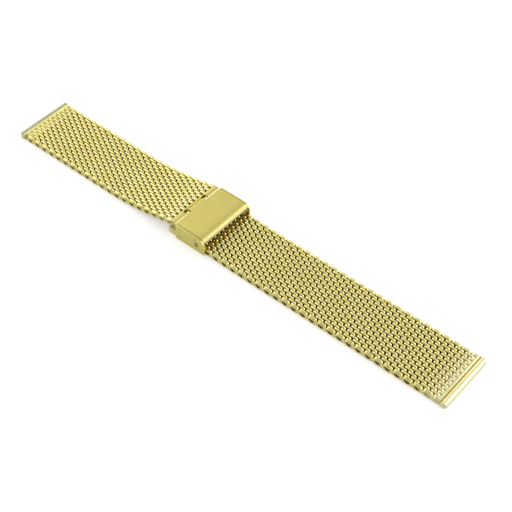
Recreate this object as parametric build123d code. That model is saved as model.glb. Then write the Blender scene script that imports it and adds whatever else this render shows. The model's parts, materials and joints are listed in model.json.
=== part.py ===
from build123d import *
from math import asin, cos, degrees, radians, sin
import os

# Milanese mesh watch band with a sliding clasp, laid out flat and closed.
# Millimetres. +X runs along the band towards the long half's free end, +Y across it,
# +Z up from the table. The origin is under the middle of the band, on the table.
# One size is set once, here or in the group of its own piece, and all else follows.

# Driving sizes of the band
BAND_WIDTH = 20.0
WIRE = 0.7
MESH_THICK = 2.2
COIL_PITCH = 1.655
TURN_PITCH = 1.85
COILS_PER_SEGMENT = 5
SHORT_SEGMENTS = 8
LONG_SEGMENTS = 10
CLASP_COIL_COUNT = 8

# The mesh: each coil is a flattened ridge with a valley on each side, and the coils at
# a flexing line end in single wire loops that interleave with the next segment's
VALLEY_DEPTH = 0.3
EDGE_STEP = 0.4
LOOP_GAP = 0.1
NOSE_FACETS = 3
FUSED_STRIP = 0.8
FUSED_DROP = 0.06
OVERRUN = 1.0

# The clasp as a whole, with its plate level with the tops of its walls
CLASP_HEIGHT = 6.1
WALL = 0.45
FLOOR = 0.4
MESH_CLEARANCE = 0.02
FRAME_SETBACK = 0.85
FLAT_LENGTH = 9.25
EASE_RADIUS = 7.0
EASE_ANGLE = 12.0
LIP_RADIUS = 2.4
LIP_ANGLE = 46.0
WALL_DROP = 0.05
HEEL_ROUND = 0.8
TOE_ROUND = 1.3
SHOULDER_ROUND = 0.3
FLOOR_BEND = 0.35

# The pin hinge between the short half, the cover plate and the hook
PIN_RADIUS = 0.38
PIN_DROP = 0.95
PIN_CLEARANCE = 0.04
COVER_THICK = 0.7
COVER_EDGE = 0.15
TONGUE_HALF = 3.25
NOTCH_WIDTH = 1.6
LEAF_GAP = 0.1
OUTER_KNUCKLE = 0.7
YOKE_STRIP = 0.4
YOKE_STRIP_DROP = 0.1
YOKE_GAP = 0.1
WEB_THICK = 0.5
WEB_DROP = 0.15

# The hook under the cover plate and the bar that it catches
HOOK_THICK = 0.4
HOOK_GAP = 0.2
HOOK_EYE = 0.66
HOOK_DROP = 0.9
HOOK_BEND = 0.32
HOOK_TIP_RISE = 0.05
BAR_RADIUS = 0.33
BAR_OFFSET = 2.6
BAR_DROP = 0.25
BAR_CLEARANCE = 0.02
HOOK_REST = 0.07

# The locking flap that grips the long half, and its tabs in the walls' round holes
FLAP_THICK = 0.5
FLAP_LENGTH = 5.2
FLAP_HEEL = 0.4
FLAP_SIDE_GAP = 0.12
PIVOT_OFFSET = 9.25
PIVOT_HOLE = 0.78
TAB_WIDTH = 1.4
TOOTH_COUNT = 3
TOOTH_PITCH = 0.4
TOOTH_DEPTH = 0.12
TOOTH_GAP = 0.04
THUMB_NOTCH = 2.0

# The cover plate's two side tabs, whose round nubs sit at small holes in the walls
SNAP_OFFSET = 8.8
SNAP_DROP = 1.4
SNAP_HOLE = 0.27
NUB_RADIUS = 0.24
NUB_REACH = 0.1
SNAP_TAB_LENGTH = 2.0
SNAP_TAB_THICK = 0.35
SNAP_TAB_DEPTH = 1.0

# The ends that take the spring bars, and the cap on the long half's tail
BORE_RADIUS = 0.8
TUBE_WALL = 0.3
LUG_GAP = 0.2
NECK_HALF = 0.7
LUG_CORNER = 1.0
CAP_LENGTH = 3.3
CAP_ROUND = 0.5
CAP_CORNER = 0.5
TAIL_OUT = 2.7

# How the halves rise to the clasp: each run's share of the rise, from the table up
RISE_SHARES = (0.16, 0.36, 0.48)

# Sizes that follow
HALF_THICK = MESH_THICK / 2
HALF_WIDTH = BAND_WIDTH / 2
SEGMENT = COILS_PER_SEGMENT * COIL_PITCH
LOOP_REACH = HALF_THICK + LOOP_GAP
RIDGE_FLAT = 2 * LOOP_REACH - COIL_PITCH
TUBE_RADIUS = BORE_RADIUS + TUBE_WALL
LUG_SETBACK = TUBE_RADIUS + LUG_GAP
PIN_HEIGHT = CLASP_HEIGHT - PIN_DROP
PIN_HOLE = PIN_RADIUS + PIN_CLEARANCE
NOTCH_END = TONGUE_HALF + NOTCH_WIDTH
KNUCKLE_END = HALF_WIDTH - YOKE_GAP / 2
YOKE_REACH = PIN_DROP + YOKE_GAP + YOKE_STRIP
WALL_INNER = HALF_WIDTH + YOKE_GAP / 2
WALL_OUTER = WALL_INNER + WALL
COVER_HALF = WALL_INNER - COVER_EDGE
LIP_START = FLAT_LENGTH + EASE_RADIUS * sin(radians(EASE_ANGLE))
CLASP_END = LIP_START + (LIP_RADIUS - WALL_DROP) * (1 - sin(radians(EASE_ANGLE)))
TAIL_START = CAP_LENGTH - TAIL_OUT
CLASP_MESH_HEIGHT = FLOOR + MESH_CLEARANCE + HALF_THICK
FLAP_UNDER = CLASP_MESH_HEIGHT + HALF_THICK + TOOTH_GAP + TOOTH_DEPTH
PIVOT_HEIGHT = FLAP_UNDER + FLAP_THICK / 2


def across(profile, low, high):
    """Solid of a side-view profile between two places across the band."""
    return Pos(0, high, 0) * extrude(Plane.XZ * profile, amount=high - low)


def both_sides(profile, low, high):
    """The same solid near the band's two edges."""
    return across(profile, low, high) + across(profile, -high, -low)


def span(low_x, high_x, low_z, high_z):
    """Rectangle between two corners of the side view."""
    middle = Pos((low_x + high_x) / 2, (low_z + high_z) / 2)
    return middle * Rectangle(high_x - low_x, high_z - low_z)


def disc(x, z, radius):
    """Circle in the side view."""
    return Pos(x, z) * Circle(radius)


# The mesh segments


def loop_rows(at_far_end):
    """Places across the band of the loops on one comb. The two combs of a flexing
    line are half a turn apart, so that their loops interleave."""
    count = int((HALF_WIDTH - WIRE / 2) / TURN_PITCH)
    if at_far_end:
        return [k * TURN_PITCH for k in range(-count, count + 1)]
    return [(k + 0.5) * TURN_PITCH for k in range(-count, count)]


def ridge_profile(coils):
    """Side view of a row of coils, a ridge above and below for each."""
    slope = (COIL_PITCH - RIDGE_FLAT) / 2
    valley = HALF_THICK - VALLEY_DEPTH
    top = [(0, valley)]
    for k in range(coils):
        top.append((k * COIL_PITCH + slope, HALF_THICK))
        top.append(((k + 1) * COIL_PITCH - slope, HALF_THICK))
        top.append(((k + 1) * COIL_PITCH, valley))
    under = [(x, -z) for x, z in reversed(top)]
    return make_face(Polyline(*top, *under, close=True))


def loop_profile(length, at_far_end):
    """Side view of a row of loops: flat on top and below, bent round the flexing line."""
    side = 1 if at_far_end else -1
    line = length if at_far_end else 0
    root = line - side * LOOP_REACH
    turns = [90 - 180 * k / NOSE_FACETS for k in range(NOSE_FACETS + 1)]
    nose = [(line + side * HALF_THICK * cos(radians(a)), HALF_THICK * sin(radians(a))) for a in turns]
    return make_face(Polyline((root, HALF_THICK), *nose, (root, -HALF_THICK), close=True))


def comb_slots(length, at_far_end):
    """What is cut between the loops, so that the next segment's loops fit in."""
    side = 1 if at_far_end else -1
    line = length if at_far_end else 0
    rows = loop_rows(at_far_end)
    lows = [-HALF_WIDTH - OVERRUN] + [row + WIRE / 2 for row in rows]
    highs = [row - WIRE / 2 for row in rows] + [HALF_WIDTH + OVERRUN]
    depth = LOOP_REACH + HALF_THICK + OVERRUN
    middle = line + side * (depth / 2 - LOOP_REACH)
    tall = MESH_THICK + OVERRUN
    return [
        Pos(middle, (low + high) / 2, 0) * Box(depth, high - low, tall)
        for low, high in zip(lows, highs)
    ]


def edge_steps(coils):
    """Every second coil is shorter, which gives the band its scalloped edges."""
    tall = MESH_THICK + OVERRUN
    wide = EDGE_STEP + OVERRUN
    place = HALF_WIDTH - EDGE_STEP + wide / 2
    return [
        Pos((coil + 0.5) * COIL_PITCH, side * place, 0) * Box(COIL_PITCH, wide, tall)
        for coil in range(1, coils, 2)
        for side in (-1, 1)
    ]


def mesh_segment(coils, near_comb, far_comb):
    """A stretch of mesh from x = 0, its mid-plane at z = 0. An end without a comb is
    fused into a smooth strip, where a metal end piece is soldered on."""
    length = coils * COIL_PITCH
    start = LOOP_REACH if near_comb else 0
    stop = length - LOOP_REACH if far_comb else length
    profile = ridge_profile(coils) & span(start, stop, -MESH_THICK, MESH_THICK)
    low = FUSED_DROP - HALF_THICK
    high = HALF_THICK - FUSED_DROP
    if near_comb:
        profile += loop_profile(length, False)
    else:
        profile += span(0, FUSED_STRIP, low, high)
    if far_comb:
        profile += loop_profile(length, True)
    else:
        profile += span(length - FUSED_STRIP, length, low, high)
    cuts = edge_steps(coils)
    if near_comb:
        cuts += comb_slots(length, False)
    if far_comb:
        cuts += comb_slots(length, True)
    return across(profile, -HALF_WIDTH, HALF_WIDTH) - cuts


# The end pieces


def lug_end():
    """Spring-bar tube to the right of the mesh, whose end is x = 0. A thin neck leaves
    the dark seam between the mesh and the tube."""
    profile = disc(LUG_SETBACK, 0, TUBE_RADIUS) + span(0, LUG_SETBACK, -NECK_HALF, NECK_HALF)
    profile -= disc(LUG_SETBACK, 0, BORE_RADIUS)
    body = across(profile, -HALF_WIDTH, HALF_WIDTH)
    reach = 2 * (LUG_SETBACK + TUBE_RADIUS)
    plan = extrude(RectangleRounded(reach, BAND_WIDTH, LUG_CORNER), amount=MESH_THICK, both=True)
    return body & plan


def tail_cap():
    """Folded strip that closes the long half's tail, ending at x = 0."""
    nose = Pos(0, 0) * RectangleRounded(2 * CAP_LENGTH, MESH_THICK, CAP_ROUND)
    profile = nose & span(-CAP_LENGTH, 0, -MESH_THICK, MESH_THICK)
    body = across(profile, -HALF_WIDTH, HALF_WIDTH)
    plan = extrude(RectangleRounded(2 * CAP_LENGTH, BAND_WIDTH, CAP_CORNER), amount=MESH_THICK, both=True)
    return body & plan


def strap_end_hinge():
    """End piece of the short half, around the hinge pin at the origin: a strip on the
    mesh, and a web that carries the two outer knuckles."""
    inner = YOKE_STRIP - YOKE_REACH
    half = HALF_THICK - YOKE_STRIP_DROP
    strip = across(span(-YOKE_REACH, inner, -half, half), -HALF_WIDTH, HALF_WIDTH)
    leaf = span(inner, 0, -WEB_DROP - WEB_THICK / 2, WEB_THICK / 2 - WEB_DROP)
    leaf += disc(0, 0, OUTER_KNUCKLE)
    leaf -= disc(0, 0, PIN_HOLE)
    return strip + both_sides(leaf, NOTCH_END, KNUCKLE_END)


def hinge_pin():
    """Plain pin through all the knuckles, at the origin."""
    return across(disc(0, 0, PIN_RADIUS), -KNUCKLE_END, KNUCKLE_END)


# The clasp, around the hinge pin at the origin


def cover_line(start):
    """Middle line of the cover plate: flat, then an easy bend and a lip that curls down."""
    height = PIN_DROP - COVER_THICK / 2
    flat = Line((start, height), (FLAT_LENGTH, height))
    ease = JernArc(flat @ 1, flat % 1, EASE_RADIUS - COVER_THICK / 2, -EASE_ANGLE)
    lip = JernArc(ease @ 1, ease % 1, LIP_RADIUS - COVER_THICK / 2, -LIP_ANGLE)
    return flat + ease + lip


def snap_tabs():
    """Two tabs under the cover plate, inside the walls, each with a round nub."""
    low = PIN_DROP - COVER_THICK - SNAP_TAB_DEPTH
    high = PIN_DROP - COVER_THICK / 2
    half = SNAP_TAB_LENGTH / 2
    tab = span(SNAP_OFFSET - half, SNAP_OFFSET + half, low, high)
    nub = disc(SNAP_OFFSET, PIN_DROP - SNAP_DROP, NUB_RADIUS)
    tabs = both_sides(tab, COVER_HALF - SNAP_TAB_THICK, COVER_HALF)
    return tabs + both_sides(nub, COVER_HALF - SNAP_TAB_THICK, COVER_HALF + NUB_REACH)


def cover_plate():
    """Cover plate with its middle knuckle rolled round the pin."""
    wide = trace(cover_line(OUTER_KNUCKLE + LEAF_GAP), line_width=COVER_THICK)
    tongue = trace(cover_line(0), line_width=COVER_THICK) + disc(0, 0, PIN_DROP)
    body = across(wide, -COVER_HALF, COVER_HALF) + across(tongue, -TONGUE_HALF, TONGUE_HALF)
    body -= across(disc(0, 0, PIN_HOLE), -HALF_WIDTH, HALF_WIDTH)
    return body + snap_tabs()


def hook_link():
    """Hook that turns on the pin in the two notches of the cover plate. It passes
    under the catch bar and turns up behind it."""
    tip = BAR_OFFSET + BAR_RADIUS + HOOK_REST + HOOK_THICK / 2
    inner = PIN_DROP + LEAF_GAP + HOOK_THICK / 2
    start = (0, -PIN_RADIUS - HOOK_THICK / 2)
    corner = (inner, -HOOK_DROP)
    arm = FilletPolyline(start, corner, (tip, -HOOK_DROP), (tip, HOOK_TIP_RISE), radius=HOOK_BEND)
    profile = disc(0, 0, HOOK_EYE) + trace(arm, line_width=HOOK_THICK) - disc(0, 0, PIN_HOLE)
    room = span(-HOOK_EYE - OVERRUN, inner, -HOOK_DROP - OVERRUN, HOOK_EYE + OVERRUN)
    low = TONGUE_HALF + HOOK_GAP
    high = NOTCH_END - HOOK_GAP
    return across(profile, -high, high) - across(room, -low, low)


def catch_bar():
    """Bar across the frame that the hook catches, its ends flush with the walls."""
    return across(disc(BAR_OFFSET, -BAR_DROP, BAR_RADIUS), -WALL_OUTER, WALL_OUTER)


def wall_profile():
    """Side wall of the frame, whose top follows the cover plate and its lip, and then
    turns down into the wall's front edge."""
    low = -PIN_HEIGHT
    top = PIN_DROP - WALL_DROP
    flat = Line((FRAME_SETBACK, top), (FLAT_LENGTH, top))
    ease = JernArc(flat @ 1, flat % 1, EASE_RADIUS - WALL_DROP, -EASE_ANGLE)
    nose = JernArc(ease @ 1, ease % 1, LIP_RADIUS - WALL_DROP, EASE_ANGLE - 90)
    end = nose @ 1
    sides = Polyline(end, (end.X, low), (FRAME_SETBACK, low), (FRAME_SETBACK, top))
    wall = make_face(flat + ease + nose + sides)
    corners = wall.vertices().group_by(Axis.Y)[0].sort_by(Axis.X)
    wall = fillet(corners[0], HEEL_ROUND)
    toe = wall.vertices().group_by(Axis.Y)[0].sort_by(Axis.X)[-1]
    wall = fillet(toe, TOE_ROUND)
    shoulder = wall.vertices().group_by(Axis.Y)[-1].sort_by(Axis.X)[0]
    wall = fillet(shoulder, SHOULDER_ROUND)
    wall -= disc(BAR_OFFSET, -BAR_DROP, BAR_RADIUS + BAR_CLEARANCE)
    wall -= disc(PIVOT_OFFSET, PIVOT_HEIGHT - PIN_HEIGHT, PIVOT_HOLE)
    wall -= disc(SNAP_OFFSET, PIN_DROP - SNAP_DROP, SNAP_HOLE)
    return wall


def folded_section():
    """Cross-section that the folded frame fits in, its two bottom folds slanted."""
    low = -PIN_HEIGHT
    inner = WALL_OUTER - FLOOR_BEND
    right = [(inner, low), (WALL_OUTER, low + FLOOR_BEND), (WALL_OUTER, PIN_DROP)]
    left = [(-y, z) for y, z in reversed(right)]
    return make_face(Polyline(*right, *left, close=True))


def clasp_frame():
    """Sliding frame, folded from one sheet: a floor under the mesh and two walls."""
    low = -PIN_HEIGHT
    walls = both_sides(wall_profile(), WALL_INNER, WALL_OUTER)
    floor = span(FRAME_SETBACK + HEEL_ROUND, CLASP_END - TOE_ROUND, low, low + FLOOR)
    body = walls + across(floor, -WALL_OUTER, WALL_OUTER)
    return body & extrude(Plane.YZ * folded_section(), amount=CLASP_END + OVERRUN)


def flap_teeth():
    """Side view of the ridges that grip the mesh, between the pivot and the free end."""
    under = FLAP_UNDER - PIVOT_HEIGHT
    first = -FLAP_HEEL - TOOTH_COUNT * TOOTH_PITCH
    points = [(first, 0)]
    for k in range(TOOTH_COUNT):
        points.append((first + k * TOOTH_PITCH, under))
        points.append((first + (k + 0.5) * TOOTH_PITCH, under - TOOTH_DEPTH))
    points.append((first + TOOTH_COUNT * TOOTH_PITCH, under))
    points.append((first + TOOTH_COUNT * TOOTH_PITCH, 0))
    return make_face(Polyline(*points, close=True))


def locking_flap():
    """Flat flap with its pivot at the origin, its ridges under it, a thumb notch in
    its free end, and a flat tab each side that turns in a round hole of the wall.
    A neck narrower than the tab stands over the mesh, which slides close below it."""
    half = FLAP_THICK / 2
    side = WALL_INNER - FLAP_SIDE_GAP
    plate = across(span(-FLAP_LENGTH, FLAP_HEEL, -half, half), -side, side)
    plate += across(flap_teeth(), -side, side)
    plate -= Pos(-FLAP_LENGTH, 0, 0) * Cylinder(THUMB_NOTCH, FLAP_THICK)
    neck = span(-TAB_WIDTH / 2, FLAP_HEEL, -half, half)
    plate += both_sides(neck, side - OVERRUN, WALL_INNER)
    tab = span(-TAB_WIDTH / 2, TAB_WIDTH / 2, -half, half)
    return plate + both_sides(tab, WALL_INNER, WALL_OUTER)


# Layout: the pin's place along the band is found from what lies on each side of it

TOTAL_RISE = PIN_HEIGHT - HALF_THICK
RUNS = (SEGMENT, SEGMENT, SEGMENT + YOKE_REACH)
TILTS = [asin(share * TOTAL_RISE / run) for share, run in zip(RISE_SHARES, RUNS)]
SLOPED = sum(run * cos(tilt) for run, tilt in zip(RUNS, TILTS))
FLAT_SHORT = (SHORT_SEGMENTS - len(RUNS)) * SEGMENT
SHORT_REACH = SLOPED + FLAT_SHORT + LUG_SETBACK + TUBE_RADIUS
FALL = asin((CLASP_MESH_HEIGHT - HALF_THICK) / SEGMENT)
CLASP_MESH_END = TAIL_START + CLASP_COIL_COUNT * COIL_PITCH
LONG_MESH_END = CLASP_MESH_END + SEGMENT * cos(FALL) + (LONG_SEGMENTS - 1) * SEGMENT
LONG_REACH = LONG_MESH_END + LUG_SETBACK + TUBE_RADIUS
PIN_X = (SHORT_REACH - LONG_REACH) / 2


def short_places():
    """Start and tilt of each short segment, from the free end to the clasp."""
    tilts = [0] * (SHORT_SEGMENTS - len(RUNS)) + TILTS
    x = PIN_X - SLOPED - FLAT_SHORT
    z = HALF_THICK
    places = []
    for tilt in tilts:
        places.append((x, z, tilt))
        x += SEGMENT * cos(tilt)
        z += SEGMENT * sin(tilt)
    return places


def long_places():
    """Start and tilt of each long segment, from the clasp to the free end."""
    x = PIN_X + CLASP_MESH_END
    z = CLASP_MESH_HEIGHT
    places = []
    for k in range(LONG_SEGMENTS):
        tilt = -FALL if k == 0 else 0
        places.append((x, z, tilt))
        x += SEGMENT * cos(tilt)
        z += SEGMENT * sin(tilt)
    return places


def placed(solid, x, z, tilt=0):
    """Put a solid at a place in the side view, its far end raised by tilt radians."""
    return Pos(x, 0, z) * Rot(0, -degrees(tilt), 0) * solid


def short_half():
    """The short half, from its spring-bar end to the hinge."""
    pieces = {}
    places = short_places()
    first_x, first_z, first_tilt = places[0]
    pieces["short_lug_end"] = placed(Rot(0, 180, 0) * lug_end(), first_x, first_z)
    end = mesh_segment(COILS_PER_SEGMENT, False, True)
    middle = mesh_segment(COILS_PER_SEGMENT, True, True)
    last = mesh_segment(COILS_PER_SEGMENT, True, False)
    shapes = [end] + [middle] * (SHORT_SEGMENTS - 2) + [last]
    for k, (shape, place) in enumerate(zip(shapes, places)):
        pieces[f"short_mesh_{k + 1}"] = placed(shape, *place)
    pieces["strap_end_hinge"] = placed(strap_end_hinge(), PIN_X, PIN_HEIGHT, TILTS[-1])
    return pieces


def long_half():
    """The long half, from its tail under the hinge to its spring-bar end."""
    pieces = {}
    tail = PIN_X + TAIL_START
    pieces["tail_end_cap"] = placed(tail_cap(), tail, CLASP_MESH_HEIGHT)
    inside = mesh_segment(CLASP_COIL_COUNT, False, True)
    pieces["clasp_mesh"] = placed(inside, tail, CLASP_MESH_HEIGHT)
    middle = mesh_segment(COILS_PER_SEGMENT, True, True)
    last = mesh_segment(COILS_PER_SEGMENT, True, False)
    shapes = [middle] * (LONG_SEGMENTS - 1) + [last]
    for k, (shape, place) in enumerate(zip(shapes, long_places())):
        pieces[f"long_mesh_{k + 1}"] = placed(shape, *place)
    pieces["long_lug_end"] = placed(lug_end(), PIN_X + LONG_MESH_END, HALF_THICK)
    return pieces


def clasp():
    """The sliding clasp in its closed state."""
    shapes = {
        "clasp_frame": clasp_frame(),
        "cover_plate": cover_plate(),
        "hinge_pin": hinge_pin(),
        "hook_link": hook_link(),
        "catch_bar": catch_bar(),
    }
    pieces = {name: placed(shape, PIN_X, PIN_HEIGHT) for name, shape in shapes.items()}
    pieces["locking_flap"] = placed(locking_flap(), PIN_X + PIVOT_OFFSET, PIVOT_HEIGHT)
    return pieces


def report_layout():
    """Print the joint places that the record gives."""
    print("pin", round(PIN_X, 4), round(PIN_HEIGHT, 4))
    print("pivot", round(PIN_X + PIVOT_OFFSET, 4), round(PIVOT_HEIGHT, 4))
    for k, (x, z, tilt) in enumerate(short_places()):
        print("short start", k + 1, round(x, 4), round(z, 4), round(degrees(tilt), 3))
    for k, (x, z, tilt) in enumerate(long_places()):
        print("long start", k + 1, round(x, 4), round(z, 4), round(degrees(tilt), 3))
    print("long mesh end", round(PIN_X + LONG_MESH_END, 4))
    print("overall", round(SHORT_REACH + LONG_REACH, 3), round(2 * WALL_OUTER, 3), CLASP_HEIGHT)


def main():
    os.makedirs("parts", exist_ok=True)
    for name, shape in {**clasp(), **short_half(), **long_half()}.items():
        export_step(shape, f"parts/{name}.step")
    report_layout()


main()
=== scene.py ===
# %% [markdown]
# # A woven mesh watch band with a sliding clasp
#
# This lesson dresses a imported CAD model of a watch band. The CAD part is the fixed frame:
# it says how big everything is and what moves. Here the band gets what the eye wants to
# see, which is nearly a hundred wire coils woven through each other, rounded sheet-metal
# edges and a pale gold plating. Lengths are written in millimetres and turned into
# Blender's metres by one number, MM.

# %% Load the frame
import json
from math import radians

import bmesh
import bpy
import numpy as np
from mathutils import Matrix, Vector


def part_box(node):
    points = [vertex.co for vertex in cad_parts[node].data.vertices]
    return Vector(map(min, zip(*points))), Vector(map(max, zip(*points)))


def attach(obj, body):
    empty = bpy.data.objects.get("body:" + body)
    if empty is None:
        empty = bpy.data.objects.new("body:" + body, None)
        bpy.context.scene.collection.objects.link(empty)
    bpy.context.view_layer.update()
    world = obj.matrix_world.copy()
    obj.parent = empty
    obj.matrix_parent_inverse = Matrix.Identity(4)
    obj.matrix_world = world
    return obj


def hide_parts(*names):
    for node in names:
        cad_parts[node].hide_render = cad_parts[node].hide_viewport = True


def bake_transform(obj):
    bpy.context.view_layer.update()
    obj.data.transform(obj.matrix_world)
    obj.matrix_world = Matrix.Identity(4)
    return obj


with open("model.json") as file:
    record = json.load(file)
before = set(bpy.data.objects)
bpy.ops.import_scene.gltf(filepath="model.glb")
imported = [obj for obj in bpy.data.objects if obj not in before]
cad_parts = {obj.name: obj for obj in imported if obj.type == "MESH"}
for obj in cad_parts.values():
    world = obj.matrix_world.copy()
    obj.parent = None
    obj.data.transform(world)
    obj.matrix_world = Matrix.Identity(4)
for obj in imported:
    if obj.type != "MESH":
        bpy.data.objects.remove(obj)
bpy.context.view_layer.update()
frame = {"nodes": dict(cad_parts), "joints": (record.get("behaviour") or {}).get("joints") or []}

MM = 0.001
joint_place = {joint["name"]: joint.get("pos_m") for joint in frame["joints"]}

# %% [markdown]
# ## The camera
#
# The camera comes first, so that every later choice can be judged from where the picture
# was taken. It could be moved by eye until the band fits, but its straight edges and its
# evenly spaced coils say more: their places in the picture give the camera's place, its
# direction and its long lens. A long lens flattens perspective, as product pictures do.

# %% Place the camera
CAMERA_PLACE = (162.44, -180.75, 260.24)
VIEW_DIRECTION = (-0.43513, 0.51302, -0.73991)
LENS = 82.555

camera_data = bpy.data.cameras.new("camera")
camera_data.lens = LENS
camera_data.sensor_width = 36.0
camera_data.clip_start = 0.01
camera = bpy.data.objects.new("camera", camera_data)
camera.location = [MM * value for value in CAMERA_PLACE]
camera.rotation_euler = Vector(VIEW_DIRECTION).to_track_quat("-Z", "Y").to_euler()
bpy.context.scene.collection.objects.link(camera)
bpy.context.scene.camera = camera
print("camera at", [round(value, 4) for value in camera.location])

# %% [markdown]
# ## Shader maths as Python
#
# A material is a graph of nodes, and a formula such as `base + 0.1 * noise` takes three of
# them. Wiring those by hand hides the formula. A small class that wraps one output socket
# and overloads Python's operators keeps the formula readable: each operator adds one Math
# node and returns its output, wrapped again.

# %% A socket that does arithmetic


class Value:
    """One output socket. An operator on it adds a Math node of that operation."""

    def __init__(self, finish, socket):
        self.finish = finish
        self.socket = socket

    def maths(self, operation, first, second):
        sockets = {0: first, 1: second}
        return self.finish.add("Math", {"operation": operation}, sockets)

    def __add__(self, other):
        return self.maths("ADD", self, other)

    def __radd__(self, other):
        return self.maths("ADD", other, self)

    def __sub__(self, other):
        return self.maths("SUBTRACT", self, other)

    def __rsub__(self, other):
        return self.maths("SUBTRACT", other, self)

    def __mul__(self, other):
        return self.maths("MULTIPLY", self, other)

    def __rmul__(self, other):
        return self.maths("MULTIPLY", other, self)

    def larger(self, other):
        return self.maths("MAXIMUM", self, other)


print("a socket can be added, subtracted, multiplied and compared")

# %% A node tree with one way to add a node


class Finish:
    """A material's or the world's node tree, emptied and ready to be filled."""

    def __init__(self, owner):
        owner.use_nodes = True
        self.owner = owner
        self.tree = owner.node_tree
        self.tree.nodes.clear()

    def add(self, kind, settings=None, sockets=None, output=0):
        """Adds a node: its settings first, a ramp's stops among them, then its sockets."""
        node = self.tree.nodes.new("ShaderNode" + kind)
        for name, value in (settings or {}).items():
            if name == "stops":
                fill_ramp(node.color_ramp, value)
            else:
                setattr(node, name, value)
        for name, value in (sockets or {}).items():
            self.feed(node.inputs[name], value)
        return Value(self, node.outputs[output]) if node.outputs else node

    def feed(self, socket, value):
        """Links a wrapped output to a socket, or writes a plain value on it."""
        if isinstance(value, Value):
            self.tree.links.new(value.socket, socket)
        else:
            socket.default_value = value

    def blend(self, share, first, second):
        """Colour mix: the first colour where the share is 0, the second where it is 1.
        The Mix node's colour inputs are numbers 6 and 7, and its colour output is 2."""
        sockets = {0: share, 6: first, 7: second}
        return self.add("Mix", {"data_type": "RGBA"}, sockets, output=2)


def fill_ramp(ramp, stops):
    """Gives a colour ramp its (place, grey) stops."""
    while len(ramp.elements) < len(stops):
        ramp.elements.new(1.0)
    for element, (place, grey) in zip(ramp.elements, stops):
        element.position = place
        element.color = (grey, grey, grey, 1.0)


print("shader helpers are ready")

# %% [markdown]
# ## Pale gold plating
#
# Every piece is steel with the same pale, slightly green gold on it. What differs is how
# it was worked: drawn wire is polished, the cover plate is satin, the folded frame is
# bright. A picture of brushed metal would stick to one view and one size, so one function
# works all of these out from noise. The colour is the metal's own, a little uneven over a
# few millimetres. Fine stretched noise makes the brushing: it moves the roughness and,
# through a Bump node, the normal, so highlights break up along the grain.

# %% One function for every gold finish
SOLDERED_GOLD = (0.90, 0.85, 0.50, 1.0)
# Painted shade: the colour that fills the gaps between the wires
CREVICE_SHADE = (0.11, 0.075, 0.006, 1.0)
WHITE = (1.0, 1.0, 1.0, 1.0)
WOVEN_EDGE_TINT = (0.80, 0.68, 0.22, 1.0)
COAT = 0.25
COAT_ROUGHNESS = 0.12
SOLDER_ROUGHNESS = 0.08
PATCHES_PER_METRE = 260.0
GRAIN_STRENGTH = 0.6
OBJECT_PLACE = 3  # Texture Coordinate's output for places in the object's own frame
ATTRIBUTE_VALUE = 2  # Attribute's output for a plain number


def gold_finish(name, pale, deep, roughness, worked, glow=0.0, woven=False, fade=None):
    """Plated metal. Its colour goes from deep to pale in patches, and its roughness is the
    given one times 0.7 to 1.3, by noise stretched along the grain. A woven finish reads two
    vertex attributes: fused pulls the colour towards solder, and the other darkens it between
    the wires, as painted shade. glow is a faint light of its own, painted light for places
    that only see other gold and get their light after many bounces. fade is a colour that
    takes over between two places along the band, in mm."""
    grain, depth = worked
    finish = Finish(bpy.data.materials.new(name))
    place = finish.add("TexCoord", output=OBJECT_PLACE)
    noise = {"Vector": place, "Scale": PATCHES_PER_METRE, "Detail": 3.0}
    patches = finish.add("TexNoise", sockets=noise)
    stretched = finish.add("Mapping", sockets={"Vector": place, "Scale": grain})
    lines = finish.add("TexNoise", sockets={"Vector": stretched, "Scale": 1.0, "Detail": 4.0})
    tone = finish.add("ValToRGB", {"stops": ((0.3, 0.0), (0.7, 1.0))}, {0: patches})
    colour = finish.blend(tone, (*deep, 1.0), (*pale, 1.0))
    rough = roughness * (0.7 + 0.6 * lines)
    coat = COAT
    edge_tint = WHITE
    if fade:
        start, end, other = fade
        along_band = finish.add("SeparateXYZ", sockets={"Vector": place})
        share = (along_band - start * MM) * (1 / (end - start) / MM)
        share = finish.add("ValToRGB", {"stops": ((0.0, 0.0), (1.0, 1.0))}, {0: share})
        colour = finish.blend(share, colour, other)
    if woven:
        fused, sunk = (
            finish.add("Attribute", {"attribute_name": key}, output=ATTRIBUTE_VALUE)
            for key in ("fused", "sunk"))
        colour = finish.blend(fused, colour, SOLDERED_GOLD)
        # Painted shade between the wires
        colour = finish.blend(sunk, colour, CREVICE_SHADE)
        rough = rough + SOLDER_ROUGHNESS * fused
        coat = coat * (1.0 - sunk)
        edge_tint = WOVEN_EDGE_TINT
    relief = {"Height": lines, "Distance": depth * MM, "Strength": GRAIN_STRENGTH}
    surface = finish.add("BsdfPrincipled", sockets={
        "Base Color": colour,
        "Metallic": 1.0,
        "Roughness": rough,
        "Normal": finish.add("Bump", sockets=relief),
        "Specular Tint": edge_tint,
        "Coat Weight": coat,
        "Coat Roughness": COAT_ROUGHNESS,
        "Emission Color": colour,
        "Emission Strength": glow,
    })
    finish.add("OutputMaterial", sockets={"Surface": surface})
    return finish.owner


print("a finish can be plain, woven, glowing or fading along the band")

# %% The finishes of the outside
# How the metal was worked: its grain in waves per metre along X, Y and Z, and depth in mm
DRAWN = ((900, 900, 900), 0.004)
BRUSHED = ((200, 2500, 200), 0.0006)
POLISHED = ((500, 4000, 500), 0.001)
PALE_GOLD = (0.965, 0.885, 0.375)
DEEP_GOLD = (0.905, 0.805, 0.305)
# Painted shade on the lip's lower end, where it mirrors the dark gap below it:
# from, to (mm along the band) and colour
LIP_PAINTED_SHADE = (-3.7, -2.7, (0.47, 0.43, 0.19, 1.0))

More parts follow.
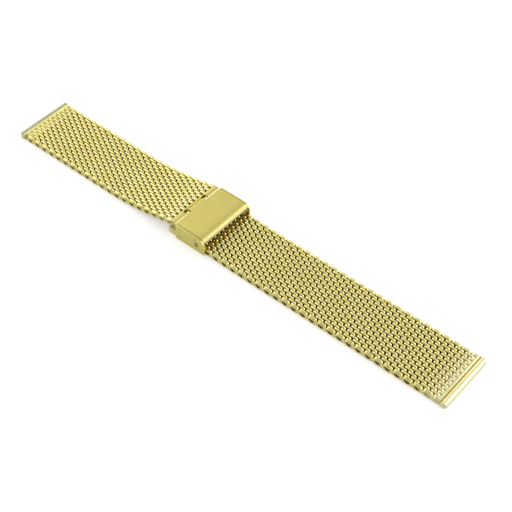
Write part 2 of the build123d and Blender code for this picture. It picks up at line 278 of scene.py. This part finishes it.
WIRE_GOLD = gold_finish("wire_gold", PALE_GOLD, DEEP_GOLD, 0.20, DRAWN, woven=True)
SATIN_GOLD = gold_finish(
    "satin_gold", (0.745, 0.645, 0.19), (0.705, 0.60, 0.165), 0.40, BRUSHED, fade=LIP_PAINTED_SHADE)
# The shoulders' glow is painted light
SHOULDER_GOLD = gold_finish(
    "shoulder_gold", (0.66, 0.58, 0.18), (0.62, 0.53, 0.155), 0.34, BRUSHED, glow=0.06)
FRAME_GOLD = gold_finish(
    "frame_gold", (0.88, 0.80, 0.25), (0.84, 0.745, 0.21), 0.20, POLISHED)
BRIGHT_GOLD = gold_finish(
    "bright_gold", (0.82, 0.76, 0.40), (0.78, 0.70, 0.32), 0.18, POLISHED)
LUG_GOLD = gold_finish(
    "lug_gold", (0.93, 0.885, 0.51), (0.90, 0.85, 0.46), 0.30, POLISHED)
TUBE_GOLD = gold_finish(
    "tube_gold", (0.52, 0.52, 0.28), (0.46, 0.46, 0.23), 0.34, POLISHED)
# The tail cap's glow is painted light, for a cap in the strap's shade
CAP_GOLD = gold_finish(
    "cap_gold", (0.74, 0.68, 0.26), (0.70, 0.62, 0.21), 0.34, POLISHED, glow=0.18)
print("palest and deepest wire:", PALE_GOLD, DEEP_GOLD)

# %% The finishes of grooves, bores and undersides
# Their grain is as the metal came from the press. Their colours and glows are painted light
# and shade, for faces that lie in shade or only see other gold: near black, warm or dark
# tones, and a faint light of their own.
RAW = ((700, 700, 700), 0.002)

GROOVE_GOLD = gold_finish(
    "groove_gold", (0.41, 0.36, 0.17), (0.39, 0.34, 0.16), 0.40, RAW, glow=1.0)
NECK_GOLD = gold_finish(
    "neck_gold", (0.50, 0.41, 0.15), (0.44, 0.35, 0.12), 0.40, RAW, glow=0.06)
INNER_GOLD = gold_finish(
    "inner_gold", (0.62, 0.43, 0.10), (0.52, 0.34, 0.065), 0.30, RAW, glow=0.10)
BORE_GOLD = gold_finish(
    "bore_gold", (0.74, 0.72, 0.54), (0.70, 0.68, 0.50), 0.40, RAW, glow=0.28)
SHADED_GOLD = gold_finish(
    "shaded_gold", (0.02, 0.014, 0.003), (0.012, 0.008, 0.002), 0.45, RAW)
gold_names = [finish.name for finish in bpy.data.materials if finish.name.endswith("_gold")]
print("all finishes:", gold_names)

# %% [markdown]
# ## The band's side line
#
# The long half lies flat on the table, and the short half climbs to the clasp's hinge.
# The coils have to follow that. So the weave is worked out flat first, as distance along
# the band, place across it and height above its middle. One function then lays flat
# points on the side line: a chain of straight runs between the CAD model's joints. A curve
# with a Curve modifier could bend the weave too, but the joints are known exactly, and so
# every coil ends up exactly where its joint is.

# %% Side lines from the joints
PITCH = 1.655  # from coil to coil, along the band
COILS_PER_SEGMENT = 5
SHORT_JOINTS = 7
LONG_JOINTS = 10
STRAP_END = (1.45, 11.531)  # distance from the pin in mm, and the strap's tilt in degrees


def side_point(place):
    """A place in metres as (along, up) in mm."""
    return np.array((place[0], place[2])) / MM


def strap_end_point():
    """The short half's end by the hinge: back from the pin, along the tilted strap."""
    reach, tilt = STRAP_END
    pin = side_point(joint_place["strap_hinge"])
    return pin - reach * np.array((np.cos(radians(tilt)), np.sin(radians(tilt))))


def node_middle(node, end):
    """Middle height of a node's low (0) or high (1) end, in the side view."""
    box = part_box(node)
    return np.array((box[end][0], (box[0][2] + box[1][2]) / 2)) / MM


short_flex = [side_point(joint_place[f"short_flex_{k}"]) for k in range(1, SHORT_JOINTS + 1)]
short_line = np.array([node_middle("short_mesh_1", 0)] + short_flex + [strap_end_point()])
long_flex = [side_point(joint_place[f"long_flex_{k}"]) for k in range(1, LONG_JOINTS + 1)]
long_end = np.array((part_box("long_lug_end")[0][0] / MM, long_flex[-1][1]))
long_line = np.array([node_middle("clasp_mesh", 0)] + long_flex + [long_end])


def along(line):
    """Distance of each point of a side line from its first."""
    steps = np.hypot(*np.diff(line, axis=0).T)
    return np.concatenate(([0.0], np.cumsum(steps)))


for name, line in (("short", short_line), ("long", long_line)):
    print(name, "half:", round(along(line)[-1] / PITCH, 3), "coils long")

# %% Lay flat points on a side line


def lay_on(line, flat):
    """Flat (along, across, height) points, in mm, to places in metres. A point keeps its
    height above the line, along a normal that turns smoothly from run to run."""
    distance = along(line)
    run_angle = np.arctan2(*np.diff(line, axis=0).T[::-1])
    run_middle = (distance[1:] + distance[:-1]) / 2
    angle = np.interp(flat[:, 0], run_middle, run_angle)
    inside = np.clip(flat[:, 0], 0.0, distance[-1])
    beyond = flat[:, 0] - inside
    height = flat[:, 2]
    x = np.interp(inside, distance, line[:, 0]) + beyond * np.cos(angle) - height * np.sin(angle)
    z = np.interp(inside, distance, line[:, 1]) + beyond * np.sin(angle) + height * np.cos(angle)
    return np.stack((x, flat[:, 1], z), axis=1) * MM


strap_middle = lay_on(short_line, np.array(((along(short_line)[-1] / 2, 0.0, 0.0),)))
print("middle of the short half, in metres:", strap_middle.round(4))

# %% [markdown]
# ## A surface from a grid of points
#
# Wires, strips and plates are all one thing to Blender: a grid of points, rows along a
# path and columns round a profile. Filling such a grid with faces is index arithmetic, so
# it needs no loop over the points.

# %% Grid to mesh


def grid_faces(rows, columns, first=0):
    """Quads of a tube of rows x columns points, closed round its columns. Point (r, c)
    has index r * columns + c, and each quad joins two rows and two columns."""
    r, c = np.meshgrid(np.arange(rows - 1), np.arange(columns), indexing="ij")
    here, there = r * columns, (r + 1) * columns
    beside = (c + 1) % columns
    quads = np.stack((here + c, here + beside, there + beside, there + c), axis=-1)
    return (quads.reshape(-1, 4) + first).tolist()


def tube_ends(rows, columns, first=0):
    """The two faces that close a tube, each turned outwards."""
    start = list(range(first, first + columns))[::-1]
    stop = list(range(first + (rows - 1) * columns, first + rows * columns))
    return [start, stop]


def piece(name, points, faces, finish, attributes=None):
    """A smooth-shaded object from points in metres and faces."""
    mesh = bpy.data.meshes.new(name)
    mesh.from_pydata(points.tolist(), [], faces)
    for key, values in (attributes or {}).items():
        attribute = mesh.attributes.new(key, "FLOAT", "POINT")
        attribute.data.foreach_set("value", values.astype(np.float32))
    mesh.materials.append(finish)
    mesh.shade_smooth()
    thing = bpy.data.objects.new(name, mesh)
    bpy.context.scene.collection.objects.link(thing)
    return thing


print("a tube of 3 rows and 4 columns has", len(grid_faces(3, 4) + tube_ends(3, 4)), "faces")

# %% [markdown]
# ## One coil of wire
#
# A mesh band starts as round wire wound into flat spirals. Each spiral is screwed into
# the last one, so its turns pass through its neighbour's, and every second spiral sits
# half a turn further across. Rolling then presses the weave flat. A curve with a round
# bevel could draw such a wire, but its points couldn't tell the finish how deep they lie.
# The wire's middle line has a formula, so the coil is worked out as a whole array instead:
# nothing is modelled twice and nothing is simulated.

# %% The wire's middle line
COIL_REACH = 1.5  # reach in the formula: from the coil's axis to its loops
COIL_HEIGHT = 0.75  # h in the formula
TURN = 1.84  # turn in the formula: from turn to turn, across the band
FLATTEN = 0.48  # f in the formula
SQUARE = 0.15  # q in the formula
EDGE_LINE = 9.65  # where the rim's rings lie, across the band
EDGE_TUCK = 0.3  # how much shorter the rings are, in mm
EDGE_PRESS = 0.2  # how much lower the rings are, as a share
TURNS = 10


def coil_line(turn_angle, odd):
    """Middle line of a flattened spiral round an axis across the band. With t the turn
    angle: along = reach cos t; height = h (sin t + q sin 3t) / (1 - q), which is a circle
    pressed flat; across = turn (t + f sin 2t) / 2 pi, so that the wire runs nearly
    straight on top and slants where it dives under its neighbour. Past the band's edge
    the wire stays at one place across and closes into a slightly smaller ring."""
    middle = np.pi * (TURNS - 0.5 - odd)
    across = TURN / (2 * np.pi) * (turn_angle - middle + FLATTEN * np.sin(2 * turn_angle))
    past = np.clip((np.abs(across) - EDGE_LINE) / TURN, 0.0, 1.0)
    u = (COIL_REACH - EDGE_TUCK * past) * np.cos(turn_angle)
    y = np.clip(across, -EDGE_LINE, EDGE_LINE)
    w = COIL_HEIGHT * (np.sin(turn_angle) + SQUARE * np.sin(3 * turn_angle)) / (1 - SQUARE)
    w *= 1 - EDGE_PRESS * past
    return np.stack((u, y, w), axis=1)


one_turn = coil_line(np.linspace(9 * np.pi, 11 * np.pi, 33), 0)
print("one turn, mm along, across and up:", np.ptp(one_turn, axis=0).round(2))

# %% The wire round its middle line
WIRE_HALF_HEIGHT = 0.35
WIRE_HALF_WIDTH = 0.46
RING_SLIMMING = 0.22
STEPS_PER_TURN = 16
WIRE_SIDES = 8
ROUND_WIRE = np.arange(WIRE_SIDES) * 2 * np.pi / WIRE_SIDES


def coil_surface(coil, thickness):
    """Points of one coil's wire, an oval carried along its middle line:
    line + high cos a outward + wide sin a sideways, with a the angle round the wire. The
    first axis points away from the coil's own axis, so the tube never twists. Every second
    coil has a turn more at each end, for the slimmer rings that make the band's rim. The
    middle line of a thicker wire is lower, so that the band keeps its height."""
    odd = coil % 2
    turns = TURNS + 0.5 + 2 * odd
    start = -np.pi * (1 + 3 * odd)
    t = np.linspace(start, start + 2 * np.pi * turns, int(turns * STEPS_PER_TURN) + 1)
    line = coil_line(t, odd)
    tangent = np.gradient(line, t, axis=0)
    tangent /= np.linalg.norm(tangent, axis=1, keepdims=True)
    outward = np.stack((np.cos(t), np.zeros_like(t), np.sin(t)), axis=1)
    outward -= (outward * tangent).sum(axis=1, keepdims=True) * tangent
    outward /= np.linalg.norm(outward, axis=1, keepdims=True)
    sideways = np.cross(tangent, outward)
    in_ring = (np.abs(line[:, 1]) > EDGE_LINE - 0.01)[:, None, None]
    half_width = WIRE_HALF_WIDTH * thickness * (1 - RING_SLIMMING * in_ring)
    high = WIRE_HALF_HEIGHT * thickness * np.cos(ROUND_WIRE)[None, :, None] * outward[:, None]
    wide = half_width * np.sin(ROUND_WIRE)[None, :, None] * sideways[:, None]
    points = line[:, None] * (1.0, 1.0, 2.0 - thickness) + high + wide
    points[..., 0] += (coil + 0.5) * PITCH
    return points


demo = coil_surface(0, 1.0)
reach = np.ptp(demo[..., 1]).round(2)
print("one coil:", len(demo), "rows of", WIRE_SIDES, "points,", reach, "mm across")

# %% [markdown]
# ## The weave, piece by piece
#
# The real band bends at every coil, and the CAD model at every fifth, where it has a
# joint. An Array modifier could repeat the coils, but they aren't all alike. And if each
# run of coils rode stiffly on its own body, the band would kink and tear at the joints.
# So a piece of weave spans each joint, from the middle of one run to the middle of the
# next. Where the mesh is soldered, at its ends, solder has crept between the wires: they
# are a little thicker there and paler.
#
# Between the wires a real band is nearly black, because light hardly gets there. That
# shade is painted: each point carries a number that says how deep it lies, and the wire's
# finish darkens it by that number. That costs no rays, and it looks the same from every side.

# %% Solder, and painted shade between the wires
SOLDER_CREEP = 3.5  # coils
SOLDER_THICKENING = 0.25
SUNK_FROM = 0.97  # points lower than this, in mm from the weave's middle, get darker
SUNK_SPAN = 0.36
RIM_FROM = 9.3
# Painted shade on the inner side of each rim ring's wire, by the angle round the wire
RING_INSIDE = np.clip(0.3 - 1.2 * np.cos(ROUND_WIRE), 0.0, 1.0)


def solder_share(coils_from_end, creep):
    """How much solder has crept to a coil, 1 at the mesh's end and 0 after creep coils."""
    return max(1.0 - coils_from_end / creep, 0.0)


def crevice_shade(coil, surface):
    """How dark each point of a coil is, 0 to 1, as painted shade. Between the wires it is
    (from - height) / span. A rim ring is dark on the side of its wire that faces the ring's
    middle, and less so towards the ring's two round ends."""
    sunk = np.clip((SUNK_FROM - np.abs(surface[..., 2])) / SUNK_SPAN, 0.0, 1.0)
    from_middle = np.abs(surface[..., 0] - (coil + 0.5) * PITCH)
    in_ring = RING_INSIDE * np.clip(1.1 - 1.6 * from_middle, 0.0, 1.0)
    is_rim = (coil % 2 == 1) & (np.abs(surface[..., 1]) > RIM_FROM)
    return np.where(is_rim, in_ring, sunk)


shares = [round(solder_share(k, SOLDER_CREEP), 2) for k in range(COILS_PER_SEGMENT)]
print("solder on the coils from a free end inwards:", shares)

# %% One piece of weave
END_MARGIN = 0.1


def weave(name, line, coils, share_of, beyond=0.0, wire=1.0):
    """One object of interlinked coils, laid on a side line. Loops that would stick out
    of the line's ends are pressed back to them, where the soldered strip takes them in."""
    points, faces, fused, sunk = [], [], [], []
    first = 0
    last_place = along(line)[-1] - END_MARGIN + beyond
    for coil in coils:
        share = share_of(coil)
        surface = coil_surface(coil, wire + SOLDER_THICKENING * share)
        surface[..., 0] = np.clip(surface[..., 0], END_MARGIN, last_place)
        rows, columns = surface.shape[:2]
        points.append(surface.reshape(-1, 3))
        faces += grid_faces(rows, columns, first) + tube_ends(rows, columns, first)
        fused.append(np.full(rows * columns, share))
        # Painted shade between the wires, none where solder fills them
        sunk.append(crevice_shade(coil, surface).ravel() * (1 - share))
        first += rows * columns
    attributes = {"fused": np.concatenate(fused), "sunk": np.concatenate(sunk)}
    places = lay_on(line, np.concatenate(points))
    return piece(name, places, faces, WIRE_GOLD, attributes)


def bend_over(thing):
    """Bakes the piece's placement into its own points."""
    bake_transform(thing)


# %% The long half
LONG_COILS = 58
CLASP_COILS = 8


def long_share(coil):
    return solder_share(min(coil, LONG_COILS - 1 - coil), SOLDER_CREEP)


inside = weave("weave_in_clasp", long_line, range(0, CLASP_COILS - 2), long_share)
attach(inside, "long_tail")
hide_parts("clasp_mesh")
for k in range(1, LONG_JOINTS + 1):
    first = CLASP_COILS + COILS_PER_SEGMENT * (k - 1) - 2
    last = first + COILS_PER_SEGMENT if k < LONG_JOINTS else LONG_COILS
    part = weave(f"long_weave_{k}", long_line, range(first, last), long_share)
    if k == 1:
        bend_over(part)
    else:
        bend_over(part)
    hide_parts(f"long_mesh_{k}")
print("long half woven, faces in one piece:", len(part.data.polygons))

# %% The short half
SHORT_COILS = 40
FREE_END_SHARE = 0.05
HINGE_SHARE = 0.35
HINGE_CREEP = 6.0  # coils
HINGE_OVERLAP = 0.35  # how far the last loops reach into the strip by the hinge, in mm
SHORT_WIRE = 1.06


def short_share(coil):
    at_hinge = HINGE_SHARE * solder_share(SHORT_COILS - 1 - coil, HINGE_CREEP)
    return max(at_hinge, FREE_END_SHARE * solder_share(coil, SOLDER_CREEP))


for k in range(1, SHORT_JOINTS + 1):
    at_hinge = k == SHORT_JOINTS
    first = COILS_PER_SEGMENT * k - 2 if k > 1 else 0
    last = SHORT_COILS if at_hinge else COILS_PER_SEGMENT * k + 3
    coils = range(first, last)
    part = weave(f"short_weave_{k}", short_line, coils, short_share, HINGE_OVERLAP, SHORT_WIRE)
    bend_over(part)
    nodes = [f"short_mesh_{k}"] + (["short_mesh_8"] if at_hinge else [])
    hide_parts(*nodes)
print("short half woven")

# %% [markdown]
# ## Soldered strips
#
# At each end of the mesh the last coils are fused into a smooth strip, where the metal
# end piece is joined on. On the real band this strip is almost without holes, and paler
# than the weave. A cube with a Bevel modifier would do. Here it is one profile with soft
# corners, carried across, so that it has the wires' attributes and can share their finish.
# A wider and lower bar beside it fills the gaps between the last wires, as solder does.

# %% Rounded bar


def rounded_profile(width, height, corner, steps=4):
    """Corners of a rectangle, each replaced by a quarter circle: centre + corner times
    (cos a, sin a) while a turns through each quarter."""
    quarter = np.linspace(0.0, np.pi / 2, steps)
    signs = np.array(((1, 1), (-1, 1), (-1, -1), (1, -1)))
    angle = (quarter[None, :] + np.arange(4)[:, None] * np.pi / 2).ravel()
    centre = np.repeat(signs * (width / 2 - corner, height / 2 - corner), steps, axis=0)
    return centre + corner * np.stack((np.cos(angle), np.sin(angle)), axis=1)


print("a bar's profile has", len(rounded_profile(0.6, 2.2, 0.2)), "points")

# %% Strips and fillings
TIP_INSETS = np.array((0.0, 0.12, 0.35))
TIP_SCALES = np.array((0.72, 0.93, 1.0))


def strip_across(name, line, middle, width, height, corner, half, body, fused, sunk):
    """A rounded bar across the band. Its ends shrink over the last rows to round them."""
    profile = rounded_profile(width, height, corner)
    rows = np.concatenate((-half + TIP_INSETS, half - TIP_INSETS[::-1]))
    scale = np.concatenate((TIP_SCALES, TIP_SCALES[::-1]))
    flat = np.empty((len(rows), len(profile), 3))
    flat[..., 0] = middle + profile[:, 0] * scale[:, None]
    flat[..., 1] = rows[:, None]
    flat[..., 2] = profile[:, 1] * scale[:, None]
    # A profile that turns from X to Z faces +Y, so the rows run backwards along Y
    flat = flat[::-1]
    faces = grid_faces(len(rows), len(profile)) + tube_ends(len(rows), len(profile))
    count = flat.size // 3
    attributes = {"fused": np.full(count, fused), "sunk": np.full(count, sunk)}
    bar = piece(name, lay_on(line, flat.reshape(-1, 3)), faces, WIRE_GOLD, attributes)
    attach(bar, body)
    return bar


long_length = along(long_line)[-1]
STRIPS = (
    # name, side line, place along it, width, height, corner, half length, body, fused, sunk
    ("long_end_solder", long_line, long_length - 0.3, 0.6, 2.2, 0.2, 9.95, "long_10", 1.0, 0.0),
    ("short_end_solder", short_line, 0.175, 0.35, 2.2, 0.15, 9.95, "short_1", 0.1, 0.05),
    ("long_end_filling", long_line, long_length - 1.2, 1.8, 1.5, 0.2, 9.7, "long_10", 0.7, 0.0),
    # This filling is darkened with painted shade, by its last number
    ("short_end_filling", short_line, 2.0, 3.4, 1.72, 0.2, 9.7, "short_1", 0.0, 0.6),
)
for strip in STRIPS:
    strip_across(*strip)
print("soldered strips at the two free ends")

# %% [markdown]
# ## Sheet metal with soft edges
#
# The clasp's pieces are right as the CAD model has them, but real edges are never
# perfectly sharp: a thin bright line runs along each one, where a tiny rounding catches
# the light. A Bevel modifier makes that rounding. A imported node is loose triangles, so a
# copy is joined up first and its flat faces are merged, and the copy stands for the node.
# One sheet can have several finishes: its grooves, holes and underside were never brushed,
# and their colours are painted light and shade, dark or warm where they lie in shade among
# other gold, some with a faint glow of their own. So each face of the copy picks its own by
# where it is and which way it looks.

# %% Softened copies of nodes
SAME_POINT = 0.002  # mm
FLAT_ANGLE = radians(1.5)
SHARP_ANGLE = radians(35)


def softened(node, name, width, finishes, slot, body, which=None):
    """A copy of a CAD node with merged faces and rounded edges, riding on its body. which
    gives the number of a face's finish from its centre, in mm, and its normal."""
    source = frame["nodes"][node]
    shape = bmesh.new()
    shape.from_mesh(source.data)
    bmesh.ops.remove_doubles(shape, verts=shape.verts, dist=SAME_POINT * MM)
    bmesh.ops.dissolve_limit(
        shape, angle_limit=FLAT_ANGLE, verts=shape.verts, edges=shape.edges)
    bmesh.ops.recalc_face_normals(shape, faces=shape.faces)
    mesh = bpy.data.meshes.new(name)
    shape.to_mesh(mesh)
    shape.free()
    if "custom_normal" in mesh.attributes:
        mesh.attributes.remove(mesh.attributes["custom_normal"])
    mesh.materials.clear()
    for finish in finishes:
        mesh.materials.append(finish)
    if which:
        for face in mesh.polygons:
            face.material_index = which(face.center / MM, face.normal)
    mesh.shade_smooth()
    mesh.set_sharp_from_angle(angle=SHARP_ANGLE)
    thing = bpy.data.objects.new(name, mesh)
    bpy.context.scene.collection.objects.link(thing)
    bevel = thing.modifiers.new("edges", "BEVEL")
    bevel.width = width * MM
    bevel.segments = 2
    bevel.limit_method = "ANGLE"
    bevel.angle_limit = SHARP_ANGLE
    bevel.use_clamp_overlap = True
    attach(thing, body)
    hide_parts(node)
    return thing


print("faces that meet at more than", round(np.degrees(SHARP_ANGLE)), "degrees get a round edge")

# %% Which finish a face gets
# Places in mm, along the band unless said otherwise
TONGUE_ROOT = -14.8
HINGE_STRIP_END = -15.75
FLAP_PIVOT = side_point(joint_place["flap_pivot"])
PIVOT_REACH = 1.3
INSIDE_WALLS = 10.2  # across the band
TUBE_AXIS = 83.24
MESH_MIDDLE = 1.1  # height
BORE_REACH = 0.95
NECK_REACH = 0.8


def cover_side(centre, normal):
    """0 for the cover plate's brushed top, 1 for its underside and 2 for its edge in the
    hinge's groove. The last two only see other gold, so their finishes paint that light: a
    warm painted reflection underneath and a glowing groove."""
    if normal.x < -0.7 and centre.x < TONGUE_ROOT:
        return 2
    return int(normal.z < -0.3)


def hinge_side(centre, normal):
    """0 for the strip on the mesh, which has the plate's finish, 1 for the polished
    knuckles and 2 for the strip's face in the narrow groove. The strip's finish and the
    groove's carry a painted glow."""
    if normal.x > 0.7 and centre.x < HINGE_STRIP_END:
        return 2
    return int(centre.x > HINGE_STRIP_END)


def frame_side(centre, normal):
    """0 for the folded sheet, 1 for the wall of the hole round the flap's tab, painted
    near black as shade.
    """
    off = Vector((centre.x - FLAP_PIVOT[0], centre.z - FLAP_PIVOT[1]))
    return int(off.length < PIVOT_REACH and abs(normal.y) < 0.5)


def flap_side(centre, normal):
    """0 for the tabs' flush ends and the flap's top, 1 for its sides in the walls' shade."""
    return int(abs(normal.y) > 0.9 and abs(centre.y) < INSIDE_WALLS)


def tube_side(centre, normal):
    """0 for a tube's outside, 1 for its bore, which glows with painted light, 2 for the
    neck in the gap by the mesh, painted darker as shade.
    """
    off = Vector((abs(centre.x) - TUBE_AXIS, 0.0, centre.z - MESH_MIDDLE))
    facing = Vector((normal.x if centre.x > 0 else -normal.x, 0.0, normal.z))
    if abs(normal.y) < 0.5 and off.length < BORE_REACH and off.dot(facing) < 0:
        return 1
    return 2 if abs(centre.x) < TUBE_AXIS - NECK_REACH and abs(normal.z) > 0.9 else 0


print("the flap's hole is at", FLAP_PIVOT.round(2), "mm along and up")

# %% The sheet pieces
cover_golds = (SATIN_GOLD, INNER_GOLD, GROOVE_GOLD)
hinge_golds = (SHOULDER_GOLD, BRIGHT_GOLD, GROOVE_GOLD)
wall_golds = (FRAME_GOLD, SHADED_GOLD)
short_golds = (TUBE_GOLD, BORE_GOLD, NECK_GOLD)
long_golds = (LUG_GOLD, BORE_GOLD, NECK_GOLD)
SHEET_PIECES = (
    # node, piece, rounding in mm, finishes, slot, body, which finish
    ("cover_plate", "cover", 0.08, cover_golds, "cover_satin", "cover", cover_side),
    ("clasp_frame", "side_walls_and_floor", 0.07, wall_golds,
     "clasp_polished", "clasp", frame_side),
    ("strap_end_hinge", "strap_end_knuckles", 0.06, hinge_golds,
     "hinge_polished", "strap_end", hinge_side),
    ("tail_end_cap", "tail_cap", 0.10, (CAP_GOLD,), "hinge_polished", "long_tail"),
    ("locking_flap", "flap", 0.05, wall_golds, "clasp_inner", "flap", flap_side),
    ("hook_link", "hook", 0.04, (BRIGHT_GOLD,), "clasp_inner", "clasp"),
    ("short_lug_end", "short_end_tube", 0.08, short_golds, "end_tube", "short_1", tube_side),
    ("long_lug_end", "long_end_tube", 0.08, long_golds, "end_tube", "long_10", tube_side),
)
for sheet in SHEET_PIECES:
    softened(*sheet)
print("sheet pieces:", [sheet[1] for sheet in SHEET_PIECES])

# %% [markdown]
# ## The sheet over the hinge
#
# On the real band the short half's end piece is folded sheet: it leaves the mesh level,
# and only then rolls round the hinge pin. In the CAD model the knuckles are plain, because
# the cover plate has to clear them as it opens. So a flat shoulder closes the corner
# between the strip on the mesh and each outer knuckle. It is an extruded polygon, kept a
# hair lower than the place that the cover plate sweeps through.

# %% Shoulders beside the hinge
SHOULDER_PROFILE = np.array((  # from the pin, in mm: along the band and up
    (-1.28, 0.66), (-0.9, 0.70), (-0.45, 0.735), (-0.05, 0.70), (-0.2, 0.45), (-1.28, 0.2)))
SHOULDER_REACH = (4.87, 9.93)
pin = side_point(joint_place["strap_hinge"])
for side in (-1, 1):
    rows = np.linspace(*SHOULDER_REACH, 3)
    rows = rows[::-1] if side > 0 else -rows
    points = np.empty((len(rows), len(SHOULDER_PROFILE), 3))
    points[..., 0] = pin[0] + SHOULDER_PROFILE[:, 0]
    points[..., 1] = rows[:, None]
    points[..., 2] = pin[1] + SHOULDER_PROFILE[:, 1]
    count = len(SHOULDER_PROFILE)
    faces = [face[::-1] for face in grid_faces(len(rows), count) + tube_ends(len(rows), count)]
    name = "far_hinge_shoulder" if side > 0 else "near_hinge_shoulder"
    shoulder = piece(name, points.reshape(-1, 3) * MM, faces, SHOULDER_GOLD)
    shoulder.data.set_sharp_from_angle(angle=SHARP_ANGLE)
    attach(shoulder, "strap_end")
print("two shoulders beside the hinge")

# %% [markdown]
# ## Pin and bar
#
# The hinge pin and the bar that the hook catches are plain rods. The CAD model has their
# shape right, so they stay as they are. They only get a finish, in their material slots.

# %% Nodes that stay
for node in ("hinge_pin", "catch_bar"):
    for place in frame["nodes"][node].material_slots:
        place.material = BRIGHT_GOLD
print("clasp dressed")

# %% [markdown]
# ## Studio
#
# Polished metal is a mirror, so its look is its surroundings. The band stands in a white
# sweep: bright near the horizon and greyer overhead, which puts a thin highlight on the
# far side of every wire and leaves the cover plate a calm mid gold. A real studio does
# this with paper and softboxes. Here three colour ramps on the direction of a ray are
# enough, one for each axis. The camera itself sees plain white.

# %% World
AMBIENT = 0.75
# Each stop is a place on the axis, from 0 to 1, and how bright the wall is there
HEIGHT_STOPS = ((0.0, 1.15), (0.35, 1.15), (0.66, 0.82), (0.80, 0.62), (0.92, 0.58), (1.0, 0.62))
RIGHT_STOPS = ((0.42, 0.0), (0.58, 0.60), (0.80, 1.10))
FRONT_STOPS = ((0.55, 1.0), (0.85, 0.40))

world = Finish(bpy.data.worlds.new("studio"))
direction = world.add("TexCoord")
axes = world.add("SeparateXYZ", sockets={"Vector": direction}).socket.node
right, forward, up = (Value(world, axes.outputs[name]) for name in ("X", "Y", "Z"))
height = world.add("ValToRGB", {"stops": HEIGHT_STOPS}, {0: up})
side = world.add("ValToRGB", {"stops": RIGHT_STOPS}, {0: 0.5 + 0.5 * right})
front = world.add("ValToRGB", {"stops": FRONT_STOPS}, {0: 0.5 - 0.5 * forward})
mirrored = height.larger(side) * front
rays = world.add("LightPath").socket.node
camera_ray, glossy_ray, clear_ray = (
    Value(world, rays.outputs[f"Is {kind} Ray"]) for kind in ("Camera", "Glossy", "Transmission"))
ambient = (AMBIENT, AMBIENT, AMBIENT, 1.0)
grey = world.blend(glossy_ray.larger(clear_ray), ambient, mirrored)
shade = world.blend(camera_ray, grey, WHITE)
background = world.add("Background", sockets={"Color": shade, "Strength": 1.0})
world.add("OutputWorld", sockets={"Surface": background})
bpy.context.scene.world = world.owner
print("studio walls: bright behind and to the right, darker in front and overhead")

# %% [markdown]
# ## Floor and lamps
#
# The floor is matt white paper, just below the band, so that the band's shadow falls on
# it. Lit by this studio alone it would be a little grey, so the camera sees it with some
# light of its own, which no mirror sees. Two large square lamps, from behind and from the
# left, add the soft sparkle on the wires.

# %% Floor
FLOOR_SIZE = 2.0
FLOOR_DEPTH = 0.00005
FLOOR_WHITE = (0.9, 0.9, 0.9, 1.0)
FLOOR_LIFT = 0.40

floor_finish = Finish(bpy.data.materials.new("floor_white"))
rays = floor_finish.add("LightPath").socket.node
seen = Value(floor_finish, rays.outputs["Is Camera Ray"])
matt = floor_finish.add("BsdfDiffuse", sockets={"Color": FLOOR_WHITE})
glow = floor_finish.add("Emission", sockets={"Color": WHITE, "Strength": FLOOR_LIFT})
lifted = floor_finish.add("AddShader", sockets={0: matt, 1: glow})
surface = floor_finish.add("MixShader", sockets={0: seen, 1: matt, 2: lifted})
floor_finish.add("OutputMaterial", sockets={"Surface": surface})

corner = np.array(((-1, -1, 0), (1, -1, 0), (1, 1, 0), (-1, 1, 0))) * FLOOR_SIZE / 2
floor_mesh = bpy.data.meshes.new("floor")
floor_mesh.from_pydata((corner - (0, 0, FLOOR_DEPTH)).tolist(), [], [[0, 1, 2, 3]])
floor_mesh.materials.append(floor_finish.owner)
floor = bpy.data.objects.new("floor", floor_mesh)
bpy.context.scene.collection.objects.link(floor)
print("floor:", FLOOR_SIZE, "m across")

# %% Lamps
LAMPS = (
    # name, place in metres, side in metres, power in watts
    ("back_softbox", (0.30, 0.45, 0.35), 0.40, 1.1),
    ("left_softbox", (-0.45, 0.10, 0.45), 0.40, 0.35),
)
for name, place, size, power in LAMPS:
    lamp = bpy.data.lights.new(name, "AREA")
    lamp.shape = "SQUARE"
    lamp.size = size
    lamp.energy = power
    holder = bpy.data.objects.new(name, lamp)
    holder.location = place
    holder.rotation_euler = (-Vector(place)).to_track_quat("-Z", "Y").to_euler()
    bpy.context.scene.collection.objects.link(holder)
print("lamps:", len(LAMPS))

# %% Finish
bpy.context.scene.view_settings.view_transform = "Standard"
